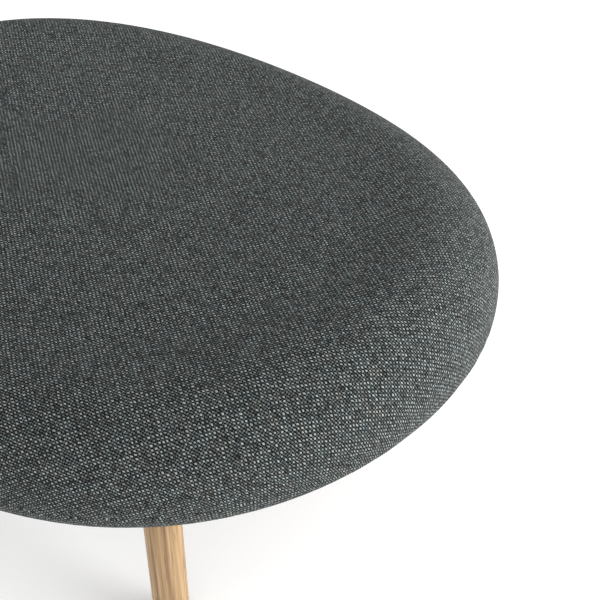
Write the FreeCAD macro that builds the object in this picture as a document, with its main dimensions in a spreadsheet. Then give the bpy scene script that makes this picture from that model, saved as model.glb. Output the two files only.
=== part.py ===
import FreeCAD, Part
import math
import os
import Sketcher

# Upholstered oval ottoman: a dished seat pad on a bent plywood board, carried by four splayed oak legs.
# Millimetres, +Z up, +X along the length, origin on the floor under the middle of the seat.

Vector = FreeCAD.Vector

# A sketch's own names for its axes and for the points of an element; its origin is a point of the first axis
HORIZONTAL_AXIS, VERTICAL_AXIS = range(-1, -3, -1)
ORIGIN = HORIZONTAL_AXIS
START, END, CENTRE = range(1, 4)

# Driving dimensions
SIZES = {
    # Seat pad: outline in plan, and the dished top with its rolled edge
    "half_length": 350.0,
    "half_width": 292.0,
    "outline_fullness": 0.797,
    "seat_height": 340.0,
    "pad_thickness": 99.0,
    "dish_radius": 1850.0,
    "crown_radius": 3600.0,
    "top_edge_radius": 64.0,
    "under_edge_radius": 22.0,
    "upright_side": 1.0,
    # Layers of the pad
    "cover_thickness": 2.0,
    "layer_gap": 0.3,
    "wadding_thickness": 13.0,
    "hem_width": 45.0,
    "board_thickness": 12.0,
    "dust_cover_thickness": 1.0,
    "dust_cover_lap": 33.0,
    # Leg plates and their screws
    "leg_x": 153.0,
    "leg_y": 116.0,
    "plate_radius": 35.0,
    "plate_thickness": 2.5,
    "plate_edge_gap": 2.0,
    "boss_radius": 8.0,
    "boss_height": 9.0,
    "boss_gap": 0.3,
    "screw_circle_radius": 27.0,
    "screw_radius": 2.0,
    "screw_length": 11.0,
    "screw_head_radius": 4.0,
    "screw_head_height": 2.4,
    "screw_gap": 0.1,
    # Legs and the bolts that hold them
    "leg_lean": 18.0,
    "leg_top_radius": 17.5,
    "leg_foot_radius": 16.5,
    "leg_foot_bevel": 1.5,
    "leg_top_bevel": 1.0,
    "bolt_radius": 4.0,
    "bolt_depth": 38.0,
    "bolt_gap": 0.1,
    "bolt_tip": 1.2,
    # Glides under the feet
    "glide_radius": 14.0,
    "glide_height": 5.0,
    "glide_bevel": 1.0,
    "felt_radius": 13.5,
    "felt_height": 3.0,
    "glide_screw_radius": 1.8,
    "glide_screw_length": 22.0,
    "glide_screw_head_radius": 3.6,
    "glide_screw_head_height": 2.2,
}
SCREWS_PER_PLATE = 4

# Corners by name, with the sign of their X and Y
CORNERS = {
    "front_right": (1, -1),
    "front_left": (-1, -1),
    "rear_right": (1, 1),
    "rear_left": (-1, 1),
}

# Derived sizes, as expressions on the sheet
# Insets of the layers from the outside of the cover
COVER_INSIDE = "Sizes.cover_thickness"
WADDING_OUTSIDE = "(Sizes.cover_thickness + Sizes.layer_gap)"
WADDING_INSIDE = "(Sizes.cover_thickness + Sizes.layer_gap + Sizes.wadding_thickness)"
FOAM_OUTSIDE = "(Sizes.cover_thickness + 2 * Sizes.layer_gap + Sizes.wadding_thickness)"
BOARD_INSET = f"max({FOAM_OUTSIDE}; Sizes.under_edge_radius + Sizes.layer_gap)"
HEM_INSET = "(Sizes.under_edge_radius + Sizes.hem_width)"
DUST_COVER_INSET = f"({HEM_INSET} - Sizes.dust_cover_lap)"
# The seat is bent about one level axis far above it: its faces, as radii about that axis
AXIS_HEIGHT = "(Sizes.seat_height + Sizes.dish_radius)"
UNDER_RADIUS = "(Sizes.dish_radius + Sizes.pad_thickness)"
COVER_INSIDE_RADIUS = f"({UNDER_RADIUS} - Sizes.cover_thickness)"
BOARD_BOTTOM_RADIUS = f"({UNDER_RADIUS} - {WADDING_OUTSIDE})"
BOARD_TOP_RADIUS = f"({BOARD_BOTTOM_RADIUS} - Sizes.board_thickness)"
FOAM_BOTTOM_RADIUS = f"({BOARD_TOP_RADIUS} - Sizes.layer_gap)"
DUST_COVER_TOP_RADIUS = f"({UNDER_RADIUS} + Sizes.layer_gap)"
DUST_COVER_BOTTOM_RADIUS = f"({DUST_COVER_TOP_RADIUS} + Sizes.dust_cover_thickness)"
PLATE_FACE_RADIUS = f"({BOARD_BOTTOM_RADIUS} + Sizes.plate_thickness)"
# The rolled edge leaves a little upright side above the under edge
CROWN_DROP = "(Sizes.crown_radius - sqrt(Sizes.crown_radius ^ 2 - Sizes.half_width ^ 2))"
SIDE_HEIGHT = f"(Sizes.pad_thickness - {CROWN_DROP})"
TOP_EDGE = f"min(Sizes.top_edge_radius; {SIDE_HEIGHT} - Sizes.under_edge_radius - Sizes.upright_side)"
# Blanks reach past the curved faces that are cut on them, and the cuts reach past the blanks
BLANK_BOTTOM = "(0.5 * Sizes.seat_height)"
BLANK_TOP = "(1.5 * Sizes.seat_height)"
CUT_BOTTOM = "(0.1 * Sizes.seat_height)"
CUT_TOP = "(2 * Sizes.seat_height)"
CUT_HALF_WIDTH = "(2 * Sizes.half_width)"
# Leg plates lie on the bent board, so each tilts; its leg goes on down from it to a level foot
PLATE_TILT = f"asin(Sizes.leg_x / {PLATE_FACE_RADIUS})"
PLATE_HEIGHT = f"({AXIS_HEIGHT} - {PLATE_FACE_RADIUS} * cos({PLATE_TILT}))"
FOOT_HEIGHT = "(Sizes.felt_height + Sizes.glide_height)"
FOOT_X = f"(Sizes.leg_x + ({PLATE_HEIGHT} - {FOOT_HEIGHT}) * tan({PLATE_TILT}))"
FOOT_Y = "(Sizes.leg_y + Sizes.leg_lean)"

document = FreeCAD.newDocument("Ottoman")
sheet = document.addObject("Spreadsheet::Sheet", "Sizes")
for row, (alias, size) in enumerate(SIZES.items(), start=1):
    sheet.set(f"A{row}", alias)
    sheet.set(f"B{row}", str(size))
    sheet.setAlias(f"B{row}", alias)
document.recompute()


def number(expression):
    """The present value of an expression on the sheet."""
    return float(sheet.evalExpression(expression))


def origin_plane(body, role):
    """One of a body's own origin planes."""
    return next(plane for plane in body.Origin.OriginFeatures if plane.Role == role)


def new_body(name):
    """An empty body."""
    return document.addObject("PartDesign::Body", name)


def new_sketch(body, name, role="XY_Plane"):
    """A sketch on an origin plane of the body."""
    sketch = body.newObject("Sketcher::SketchObject", name)
    sketch.AttachmentSupport = [(origin_plane(body, role), "")]
    sketch.MapMode = "FlatFace"
    return sketch


def dimension(sketch, name, expression, kind, *where):
    """A driving dimension of a sketch, bound to the sheet."""
    index = sketch.addConstraint(Sketcher.Constraint(kind, *where, number(expression)))
    sketch.renameConstraint(index, name)
    sketch.setExpression(f"Constraints.{name}", expression)


def fix(sketch, kind, *where):
    """A geometric constraint of a sketch."""
    sketch.addConstraint(Sketcher.Constraint(kind, *where))


def oval_sketch(body, name, inset, height):
    """The seat's outline, moved inwards: four conic quarters, tangent where they meet on the axes."""
    sketch = new_sketch(body, name)
    sketch.setExpression(".AttachmentOffset.Base.z", height)
    length_expression = f"Sizes.half_length - {inset}"
    width_expression = f"Sizes.half_width - {inset}"
    length = number(length_expression)
    width = number(width_expression)
    weight = number("Sizes.outline_fullness")
    ends = [Vector(length, 0), Vector(0, width), Vector(-length, 0), Vector(0, -width)]
    corners = [Vector(length, width), Vector(-length, width), Vector(-length, -width), Vector(length, -width)]
    quarters = []
    for index, corner in enumerate(corners):
        curve = Part.BSplineCurve()
        poles = [ends[index], corner, ends[(index + 1) % len(ends)]]
        curve.buildFromPolesMultsKnots(poles, [3, 3], [0, 1], False, 2, [1, weight, 1])
        quarters.append(sketch.addGeometry(curve, False))
    for index, quarter in enumerate(quarters):
        fix(sketch, "Coincident", quarter, END, quarters[(index + 1) % len(quarters)], START)
    fix(sketch, "PointOnObject", quarters[0], START, HORIZONTAL_AXIS)
    fix(sketch, "PointOnObject", quarters[0], END, VERTICAL_AXIS)
    dimension(sketch, "half_length", length_expression, "DistanceX", ORIGIN, START, quarters[0], START)
    dimension(sketch, "half_width", width_expression, "DistanceY", ORIGIN, START, quarters[0], END)
    fix(sketch, "Symmetric", quarters[0], START, quarters[1], END, ORIGIN, START)
    fix(sketch, "Symmetric", quarters[0], END, quarters[2], END, ORIGIN, START)
    for index, quarter in enumerate(quarters):
        first_pole = sketch.GeometryCount
        sketch.exposeInternalGeometry(quarter)
        corner_pole = first_pole + 1
        upright = START if index % 2 == 0 else END
        level = END if index % 2 == 0 else START
        fix(sketch, "Vertical", quarter, upright, corner_pole, CENTRE)
        fix(sketch, "Horizontal", quarter, level, corner_pole, CENTRE)
        dimension(sketch, f"fullness_{index}", "Sizes.outline_fullness", "Weight", corner_pole)
    return sketch


def dish_axis(sketch):
    """The level axis, far above the seat, that a sketch across the seat is swept about."""
    half_length = number(CUT_HALF_WIDTH)
    height = number(AXIS_HEIGHT)
    ends = [Vector(-half_length, height), Vector(half_length, height)]
    axis = sketch.addGeometry(Part.LineSegment(*ends), True)
    fix(sketch, "Symmetric", axis, START, axis, END, VERTICAL_AXIS)
    dimension(sketch, "axis_height", AXIS_HEIGHT, "DistanceY", ORIGIN, START, axis, END)
    dimension(sketch, "axis_half_length", CUT_HALF_WIDTH, "DistanceX", ORIGIN, START, axis, END)


def band_sketch(body, name, bottom, top):
    """A rectangle across the seat between two heights."""
    sketch = new_sketch(body, name, role="YZ_Plane")
    half_span = number(CUT_HALF_WIDTH)
    low = number(bottom)
    high = number(top)
    corners = [Vector(-half_span, low), Vector(half_span, low), Vector(half_span, high), Vector(-half_span, high)]
    sides = []
    for index, corner in enumerate(corners):
        following = corners[(index + 1) % len(corners)]
        sides.append(sketch.addGeometry(Part.LineSegment(corner, following), False))
    for index, side in enumerate(sides):
        fix(sketch, "Coincident", side, END, sides[(index + 1) % len(sides)], START)
    base, right, roof, left = sides
    fix(sketch, "Symmetric", base, START, base, END, VERTICAL_AXIS)
    fix(sketch, "Horizontal", roof)
    fix(sketch, "Vertical", left)
    fix(sketch, "Vertical", right)
    dimension(sketch, "half_span", CUT_HALF_WIDTH, "DistanceX", ORIGIN, START, base, END)
    dimension(sketch, "bottom", bottom, "DistanceY", ORIGIN, START, base, END)
    dimension(sketch, "top", top, "DistanceY", ORIGIN, START, roof, START)
    dish_axis(sketch)
    return sketch


def crown_sketch(body, name, inset):
    """What lies above the pad's crowned cross-section."""
    sketch = new_sketch(body, name, role="YZ_Plane")
    half_span = number(CUT_HALF_WIDTH)
    radius = number(f"Sizes.crown_radius - {inset}")
    centre_height = number("Sizes.seat_height - Sizes.crown_radius")
    ceiling = number(CUT_TOP)
    half_angle = math.asin(half_span / radius)
    edge_height = centre_height + radius * math.cos(half_angle)
    circle = Part.Circle(Vector(0, centre_height), Vector(0, 0, 1), radius)
    crown = sketch.addGeometry(Part.ArcOfCircle(circle, math.pi / 2 - half_angle, math.pi / 2 + half_angle), False)
    corners = [Vector(-half_span, edge_height), Vector(-half_span, ceiling),
               Vector(half_span, ceiling), Vector(half_span, edge_height)]
    left, roof, right = [sketch.addGeometry(Part.LineSegment(*ends), False) for ends in zip(corners, corners[1:])]
    fix(sketch, "PointOnObject", crown, CENTRE, VERTICAL_AXIS)
    dimension(sketch, "crown_radius", f"Sizes.crown_radius - {inset}", "Radius", crown)
    dimension(sketch, "crown_drop", "Sizes.crown_radius - Sizes.seat_height",
              "DistanceY", crown, CENTRE, ORIGIN, START)
    fix(sketch, "Coincident", crown, END, left, START)
    fix(sketch, "Coincident", left, END, roof, START)
    fix(sketch, "Coincident", roof, END, right, START)
    fix(sketch, "Coincident", right, END, crown, START)
    fix(sketch, "Vertical", left)
    fix(sketch, "Vertical", right)
    fix(sketch, "Symmetric", roof, START, roof, END, VERTICAL_AXIS)
    dimension(sketch, "ceiling", CUT_TOP, "DistanceY", ORIGIN, START, roof, END)
    dimension(sketch, "half_span", CUT_HALF_WIDTH, "DistanceX", ORIGIN, START, roof, END)
    dish_axis(sketch)
    return sketch


def sweep_cut(body, name, sketch):
    """Cut a body with a cross-section swept along the seat about the dish axis."""
    groove = body.newObject("PartDesign::Groove", name)
    groove.Profile = sketch
    groove.ReferenceAxis = (sketch, ["Axis0"])
    groove.Midplane = True
    groove.setExpression("Angle", "3 * asin(Sizes.half_length / Sizes.dish_radius)")


def oval_blank(name, inset):
    """A tall oval block, ready for its curved top and underside."""
    body = new_body(name)
    pad = body.newObject("PartDesign::Pad", "sides")
    pad.Profile = oval_sketch(body, "outline", inset, BLANK_BOTTOM)
    pad.setExpression("Length", f"{BLANK_TOP} - {BLANK_BOTTOM}")
    return body


def cut_underside(body, bottom_radius):
    """Cut away what lies below a curved underside."""
    below = band_sketch(body, "below_underside", CUT_BOTTOM, f"({AXIS_HEIGHT} - {bottom_radius})")
    sweep_cut(body, "underside", below)


def edges_between(shape, near, far):
    """Names of the edges that lie wholly between two distances from the dish axis."""
    axis_height = number(AXIS_HEIGHT)
    names = []
    for index, edge in enumerate(shape.Edges, start=1):
        distances = [math.hypot(point.x, axis_height - point.z) for point in edge.discretize(9)]
        if min(distances) > near and max(distances) < far:
            names.append(f"Edge{index}")
    return names


def round_edges(body, name, near, far, radius):
    """A fillet on every edge of the body between two distances from the dish axis."""
    document.recompute()
    base = body.Tip
    fillet = body.newObject("PartDesign::Fillet", name)
    fillet.Base = (base, edges_between(base.Shape, number(near), number(far)))
    fillet.setExpression("Radius", radius)
    document.recompute()


def pad_form(name, inset, bottom_radius=None, under_edge=None):
    """The seat pad's form, moved inwards: oval sides, a dished and crowned top, and rolled edges."""
    body = oval_blank(name, inset)
    sweep_cut(body, "dish", crown_sketch(body, "above_top", inset))
    if bottom_radius:
        cut_underside(body, bottom_radius)
    half_way = "(Sizes.dish_radius + 0.5 * Sizes.pad_thickness)"
    round_edges(body, "rolled_edge", "0.5 * Sizes.dish_radius", half_way, f"{TOP_EDGE} - {inset}")
    if under_edge:
        nearest = f"({bottom_radius} - Sizes.layer_gap)"
        farthest = f"({bottom_radius} + Sizes.layer_gap)"
        round_edges(body, "under_edge", nearest, farthest, under_edge)
    return body


def bent_sheet(name, inset, top_radius, bottom_radius):
    """An oval sheet of even thickness, bent about the dish axis."""
    body = oval_blank(name, inset)
    sweep_cut(body, "upper_face", band_sketch(body, "above_face", f"({AXIS_HEIGHT} - {top_radius})", CUT_TOP))
    cut_underside(body, bottom_radius)
    return body


def bind_place(item, position, where="Placement"):
    """Bind an object's position to the sheet."""
    for axis, expression in zip("xyz", position):
        item.setExpression(f".{where}.Base.{axis}", expression)


def foot_place(item, corner, height, where="Placement"):
    """Put a piece level under a leg, at a height."""
    sign_x, sign_y = CORNERS[corner]
    bind_place(item, (f"{sign_x} * {FOOT_X}", f"{sign_y} * {FOOT_Y}", height), where)


def plate_place(item, corner, along="0", across="0", up="0", where="Placement"):
    """Put a piece in the tilted frame of a leg plate, whose origin is the middle of the plate's lower face."""
    sign_x, sign_y = CORNERS[corner]
    tilt = FreeCAD.Rotation(Vector(0, -sign_x, 0), number(PLATE_TILT))
    setattr(item, where, FreeCAD.Placement(Vector(0, 0, 0), tilt))
    item.setExpression(f".{where}.Rotation.Angle", PLATE_TILT)
    x = f"{sign_x} * Sizes.leg_x + ({along}) * cos({PLATE_TILT}) - {sign_x} * ({up}) * sin({PLATE_TILT})"
    y = f"{sign_y} * Sizes.leg_y + ({across})"
    z = f"{PLATE_HEIGHT} + {sign_x} * ({along}) * sin({PLATE_TILT}) + ({up}) * cos({PLATE_TILT})"
    bind_place(item, (x, y, z), where)


def bore(name, corner, radius, length, along="0", across="0", up="0"):
    """A cylinder square to a leg plate, used to bore a hole."""
    tool = document.addObject("Part::Cylinder", name)
    tool.setExpression("Radius", radius)
    tool.setExpression("Height", length)
    plate_place(tool, corner, along, across, up)
    return tool


def cut(label, base, tools):
    """One piece less one or more others."""
    if len(tools) > 1:
        tool = document.addObject("Part::MultiFuse", f"{label}_cutters")
        tool.Shapes = tools
    else:
        tool = tools[0]
    result = document.addObject("Part::Cut", label)
    result.Base = base
    result.Tool = tool
    return result


def turned(name, profile):
    """A body turned about Z from a closed outline of (radius, height) corners."""
    body = new_body(name)
    sketch = new_sketch(body, "outline", role="XZ_Plane")
    points = [Vector(number(radius), number(height)) for radius, height in profile]
    lines = []
    for index, point in enumerate(points):
        following = points[(index + 1) % len(points)]
        lines.append(sketch.addGeometry(Part.LineSegment(point, following), False))
    for index, line in enumerate(lines):
        fix(sketch, "Coincident", line, END, lines[(index + 1) % len(lines)], START)
    for index, (radius, height) in enumerate(profile):
        if radius == "0":
            fix(sketch, "PointOnObject", lines[index], START, VERTICAL_AXIS)
        else:
            dimension(sketch, f"radius_{index}", radius, "DistanceX", ORIGIN, START, lines[index], START)
        if height == "0":
            fix(sketch, "PointOnObject", lines[index], START, HORIZONTAL_AXIS)
        else:
            dimension(sketch, f"height_{index}", height, "DistanceY", ORIGIN, START, lines[index], START)
    revolution = body.newObject("PartDesign::Revolution", "turning")
    revolution.Profile = sketch
    revolution.ReferenceAxis = (sketch, ["V_Axis"])
    revolution.Angle = 360
    return body


def screw_offsets():
    """Where a plate's screws stand round its middle, as expressions."""
    for index in range(SCREWS_PER_PLATE):
        angle = 360.0 * (index + 0.5) / SCREWS_PER_PLATE
        yield (f"Sizes.screw_circle_radius * cos({angle} deg)", f"Sizes.screw_circle_radius * sin({angle} deg)")


def make_seat_cover():
    """Fabric cover: a thin shell over the pad, turned under to a hem round the opening below."""
    outside = pad_form("cover_outside", "0", UNDER_RADIUS, "Sizes.under_edge_radius")
    inside_round = f"Sizes.under_edge_radius - {COVER_INSIDE}"
    inside = pad_form("cover_inside", COVER_INSIDE, COVER_INSIDE_RADIUS, inside_round)
    opening = inside.newObject("PartDesign::Pad", "hem_opening")
    half_depth = "(Sizes.seat_height - 0.5 * Sizes.pad_thickness)"
    opening.Profile = oval_sketch(inside, "hem_edge", HEM_INSET, half_depth)
    opening.Reversed = True
    opening.setExpression("Length", "Sizes.pad_thickness")
    return cut("seat_cover", outside, [inside])


def make_seat_wadding():
    """Fibre wadding: a soft layer between cover and foam, down to the board's lower edge."""
    under_round = f"Sizes.under_edge_radius - {WADDING_OUTSIDE}"
    outside = pad_form("wadding_outside", WADDING_OUTSIDE, BOARD_BOTTOM_RADIUS, under_round)
    inside = pad_form("wadding_inside", WADDING_INSIDE)
    return cut("seat_wadding", outside, [inside])


def make_seat_foam():
    """Foam block: the dished form that lies on the board."""
    return pad_form("seat_foam", FOAM_OUTSIDE, FOAM_BOTTOM_RADIUS)


def make_base_board():
    """Bent plywood board, bored for the bosses and screws of the leg plates."""
    blank = bent_sheet("board_blank", BOARD_INSET, BOARD_TOP_RADIUS, BOARD_BOTTOM_RADIUS)
    bores = []
    for corner in CORNERS:
        bores.append(bore(f"boss_bore_{corner}", corner, "Sizes.boss_radius + Sizes.boss_gap",
                          "3 * Sizes.board_thickness", up="-1 * Sizes.board_thickness"))
        for index, (along, across) in enumerate(screw_offsets()):
            bores.append(bore(f"pilot_{corner}_{index}", corner, "Sizes.screw_radius + Sizes.screw_gap",
                              "2 * Sizes.screw_length", along, across, "Sizes.screw_gap - Sizes.screw_length"))
    return cut("base_board", blank, bores)


def make_dust_cover():
    """Thin cloth over the underside, cut out round the leg plates."""
    cloth = bent_sheet("dust_cloth", DUST_COVER_INSET, DUST_COVER_TOP_RADIUS, DUST_COVER_BOTTOM_RADIUS)
    holes = []
    for corner in CORNERS:
        holes.append(bore(f"cloth_hole_{corner}", corner, "Sizes.plate_radius + Sizes.plate_edge_gap",
                          "6 * Sizes.dust_cover_thickness", up="-3 * Sizes.dust_cover_thickness"))
    return cut("dust_cover", cloth, holes)


def make_leg_plate(corner):
    """Round steel plate with a threaded boss that stands up into the board."""
    thread = "Sizes.bolt_radius + Sizes.bolt_gap"
    boss_top = "Sizes.plate_thickness + Sizes.boss_height"
    profile = [(thread, "0"), ("Sizes.plate_radius", "0"), ("Sizes.plate_radius", "Sizes.plate_thickness"),
               ("Sizes.boss_radius", "Sizes.plate_thickness"), ("Sizes.boss_radius", boss_top), (thread, boss_top)]
    body = turned(f"leg_plate_{corner}", profile)
    sketch = new_sketch(body, "screw_hole")
    angle = math.pi / SCREWS_PER_PLATE
    offset = number("Sizes.screw_circle_radius") * math.cos(angle)
    radius = number("Sizes.screw_radius + Sizes.screw_gap")
    hole = sketch.addGeometry(Part.Circle(Vector(offset, offset), Vector(0, 0, 1), radius), False)
    offset_x, offset_y = next(screw_offsets())
    dimension(sketch, "offset_x", offset_x, "DistanceX", ORIGIN, START, hole, CENTRE)
    dimension(sketch, "offset_y", offset_y, "DistanceY", ORIGIN, START, hole, CENTRE)
    dimension(sketch, "radius", "Sizes.screw_radius + Sizes.screw_gap", "Radius", hole)
    pocket = body.newObject("PartDesign::Pocket", "screw_hole_cut")
    pocket.Profile = sketch
    pocket.Type = "ThroughAll"
    pocket.Midplane = True
    pattern = body.newObject("PartDesign::PolarPattern", "screw_holes")
    pattern.Originals = [pocket]
    pattern.Axis = (sketch, ["N_Axis"])
    pattern.Angle = 360
    pattern.Occurrences = SCREWS_PER_PLATE
    body.Tip = pattern
    plate_place(body, corner)
    return body


def make_plate_screws():
    """Pan-head wood screws that hold the plates to the board."""
    head = "Sizes.screw_head_radius"
    shank = "Sizes.screw_radius"
    drop = "-1 * Sizes.screw_head_height"
    shoulder = "-0.5 * Sizes.screw_head_height"
    profile = [("0", drop), ("0.7 * Sizes.screw_head_radius", drop), (head, shoulder), (head, "0"), (shank, "0"),
               (shank, "Sizes.screw_length - Sizes.screw_radius"), ("0", "Sizes.screw_length")]
    screws = []
    for corner in CORNERS:
        for index, (along, across) in enumerate(screw_offsets()):
            screw = turned(f"plate_screw_{corner}_{index}", profile)
            plate_place(screw, corner, along, across)
            screws.append(screw)
    return group("leg_plate_screws", screws)


def group(label, pieces):
    """Like pieces kept together as one node of separate solids."""
    compound = document.addObject("Part::Compound", label)
    compound.Links = pieces
    return compound


def circle_sketch(body, name, radius):
    """A circle round a sketch's origin."""
    sketch = new_sketch(body, name)
    circle = sketch.addGeometry(Part.Circle(Vector(0, 0, 0), Vector(0, 0, 1), number(radius)), False)
    fix(sketch, "Coincident", circle, CENTRE, ORIGIN, START)
    dimension(sketch, "radius", radius, "Radius", circle)
    return sketch


def foot_ring(body, corner, name, radius, height):
    """A level circle round a leg's foot."""
    sketch = circle_sketch(body, name, radius)
    foot_place(sketch, corner, height, where="AttachmentOffset")
    return sketch


def plate_ring(body, corner, name, radius, up="0"):
    """A circle round a leg's top, parallel to its plate."""
    sketch = circle_sketch(body, name, radius)
    plate_place(sketch, corner, up=up, where="AttachmentOffset")
    return sketch


def make_leg(corner):
    """Round oak leg, square to its plate above and level below, bored for its bolt and glide screw."""
    body = new_body(f"leg_{corner}")
    taper = body.newObject("PartDesign::AdditiveLoft", "taper")
    taper.Profile = foot_ring(body, corner, "foot", "Sizes.leg_foot_radius - Sizes.leg_foot_bevel", FOOT_HEIGHT)
    taper.Sections = [
        foot_ring(body, corner, "foot_bevel", "Sizes.leg_foot_radius", f"{FOOT_HEIGHT} + Sizes.leg_foot_bevel"),
        plate_ring(body, corner, "top_bevel", "Sizes.leg_top_radius", "-1 * Sizes.leg_top_bevel"),
        plate_ring(body, corner, "top", "Sizes.leg_top_radius - Sizes.leg_top_bevel"),
    ]
    taper.Ruled = True
    bolt_hole = body.newObject("PartDesign::Pocket", "bolt_hole")
    bolt_hole.Profile = plate_ring(body, corner, "bolt_mouth", "Sizes.bolt_radius + Sizes.bolt_gap")
    bolt_hole.setExpression("Length", "Sizes.bolt_depth + Sizes.bolt_gap")
    screw_hole = body.newObject("PartDesign::Pocket", "glide_screw_hole")
    screw_hole.Profile = foot_ring(body, corner, "screw_mouth", "Sizes.glide_screw_radius + Sizes.screw_gap",
                                   FOOT_HEIGHT)
    screw_hole.Reversed = True
    screw_hole.setExpression("Length", "Sizes.glide_screw_length - Sizes.glide_height + Sizes.screw_gap")
    return body


def make_leg_bolt(corner):
    """Hanger bolt from the leg's top up into the plate's boss."""
    radius = "Sizes.bolt_radius"
    tip_radius = "Sizes.bolt_radius - Sizes.bolt_tip"
    bottom = "-1 * Sizes.bolt_depth"
    top = "Sizes.plate_thickness + Sizes.boss_height"
    profile = [("0", bottom), (tip_radius, bottom), (radius, "Sizes.bolt_tip - Sizes.bolt_depth"),
               (radius, f"{top} - Sizes.bolt_tip"), (tip_radius, top), ("0", top)]
    body = turned(f"leg_bolt_{corner}", profile)
    plate_place(body, corner)
    return body


def make_leg_glide(corner):
    """Nylon glide under the foot, recessed below for the head of its screw."""
    shank = "Sizes.glide_screw_radius + Sizes.screw_gap"
    recess = "Sizes.glide_screw_head_radius + Sizes.screw_gap"
    recess_top = "Sizes.glide_screw_head_height + Sizes.screw_gap"
    edge = "Sizes.glide_radius"
    bevelled = "Sizes.glide_radius - Sizes.glide_bevel"
    profile = [(recess, "0"), (bevelled, "0"), (edge, "Sizes.glide_bevel"), (edge, "Sizes.glide_height"),
               (shank, "Sizes.glide_height"), (shank, recess_top), (recess, recess_top)]
    body = turned(f"leg_glide_{corner}", profile)
    foot_place(body, corner, "Sizes.felt_height")
    return body


def make_glide_felt(corner):
    """Felt disc that the ottoman stands on."""
    profile = [("0", "0"), ("Sizes.felt_radius", "0"), ("Sizes.felt_radius", "Sizes.felt_height"),
               ("0", "Sizes.felt_height")]
    body = turned(f"glide_felt_{corner}", profile)
    foot_place(body, corner, "0")
    return body


def make_glide_screws():
    """Screws that hold the glides to the feet, with their heads in the glides' recesses."""
    head = "Sizes.glide_screw_head_radius"
    shank = "Sizes.glide_screw_radius"
    head_top = "Sizes.glide_screw_head_height"
    tip = "Sizes.glide_screw_length"
    profile = [("0", "0"), (head, "0"), (head, head_top), (shank, head_top),
               (shank, "Sizes.glide_screw_length - Sizes.glide_screw_radius"), ("0", tip)]
    screws = []
    for corner in CORNERS:
        screw = turned(f"glide_screw_{corner}", profile)
        foot_place(screw, corner, "Sizes.felt_height")
        screws.append(screw)
    return group("glide_screws", screws)


def build():
    """Every sub-part of the ottoman, from the seat down."""
    pieces = [make_seat_cover(), make_seat_wadding(), make_seat_foam(), make_base_board(), make_dust_cover()]
    for corner in CORNERS:
        pieces.append(make_leg_plate(corner))
    pieces.append(make_plate_screws())
    for make_piece in (make_leg, make_leg_bolt, make_leg_glide, make_glide_felt):
        for corner in CORNERS:
            pieces.append(make_piece(corner))
    pieces.append(make_glide_screws())
    return pieces


def check(pieces):
    """Stop if any object failed to build or any sub-part isn't a sound solid."""
    for item in document.Objects:
        if "Invalid" in item.State or "Error" in item.State:
            raise RuntimeError(f"{item.Name} failed: {item.State}")
    for piece in pieces:
        if piece.Shape.isNull() or not piece.Shape.isValid() or not piece.Shape.Solids:
            raise RuntimeError(f"{piece.Label} is not a sound solid")


def write(pieces):
    """One STEP file for each sub-part, named after it."""
    os.makedirs("parts", exist_ok=True)
    for piece in pieces:
        piece.Shape.exportStep(os.path.join("parts", f"{piece.Label}.step"))


sub_parts = build()
document.recompute()
check(sub_parts)
write(sub_parts)
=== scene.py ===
import math

import bpy
import numpy as np
from mathutils import Matrix, Vector, kdtree


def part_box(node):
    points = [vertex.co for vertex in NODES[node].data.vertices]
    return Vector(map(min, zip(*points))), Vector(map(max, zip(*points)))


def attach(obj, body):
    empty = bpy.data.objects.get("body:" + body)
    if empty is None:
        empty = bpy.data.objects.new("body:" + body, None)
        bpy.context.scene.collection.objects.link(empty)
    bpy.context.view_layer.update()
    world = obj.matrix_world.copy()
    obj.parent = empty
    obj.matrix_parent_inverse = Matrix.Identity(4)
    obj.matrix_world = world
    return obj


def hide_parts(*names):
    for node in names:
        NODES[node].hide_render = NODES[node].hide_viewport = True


bl_info = {
    "name": "Oval ottoman",
    "version": (1, 0, 0),
    "blender": (4, 5, 0),
    "location": "View3D > Sidebar > Ottoman",
    "description": "Dresses the ottoman's frame with its woven cover, oak legs and fittings",
    "category": "Object",
}

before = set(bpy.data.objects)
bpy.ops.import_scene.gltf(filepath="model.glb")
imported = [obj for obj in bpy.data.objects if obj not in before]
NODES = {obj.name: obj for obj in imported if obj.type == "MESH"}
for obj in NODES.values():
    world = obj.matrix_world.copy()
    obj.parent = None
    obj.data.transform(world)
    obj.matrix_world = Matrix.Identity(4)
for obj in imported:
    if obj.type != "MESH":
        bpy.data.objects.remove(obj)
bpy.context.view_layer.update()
CORNERS = ("front_right", "front_left", "rear_right", "rear_left")
SEAT_HALF_LENGTH, SEAT_HALF_WIDTH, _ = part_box("seat_cover")[1]
DUST_COVER_LOW, DUST_COVER_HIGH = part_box("dust_cover")
DUST_COVER_INSET = SEAT_HALF_LENGTH - DUST_COVER_HIGH[0]
MM = 0.001
MERGE_DISTANCE = 0.01 * MM
SMOOTH_ANGLE = math.radians(40.0)
CLOTH_SMOOTH_ANGLE = math.radians(35.0)
SENSOR_WIDTH = 36.0
WHITE = (1.0, 1.0, 1.0, 1.0)


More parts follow.
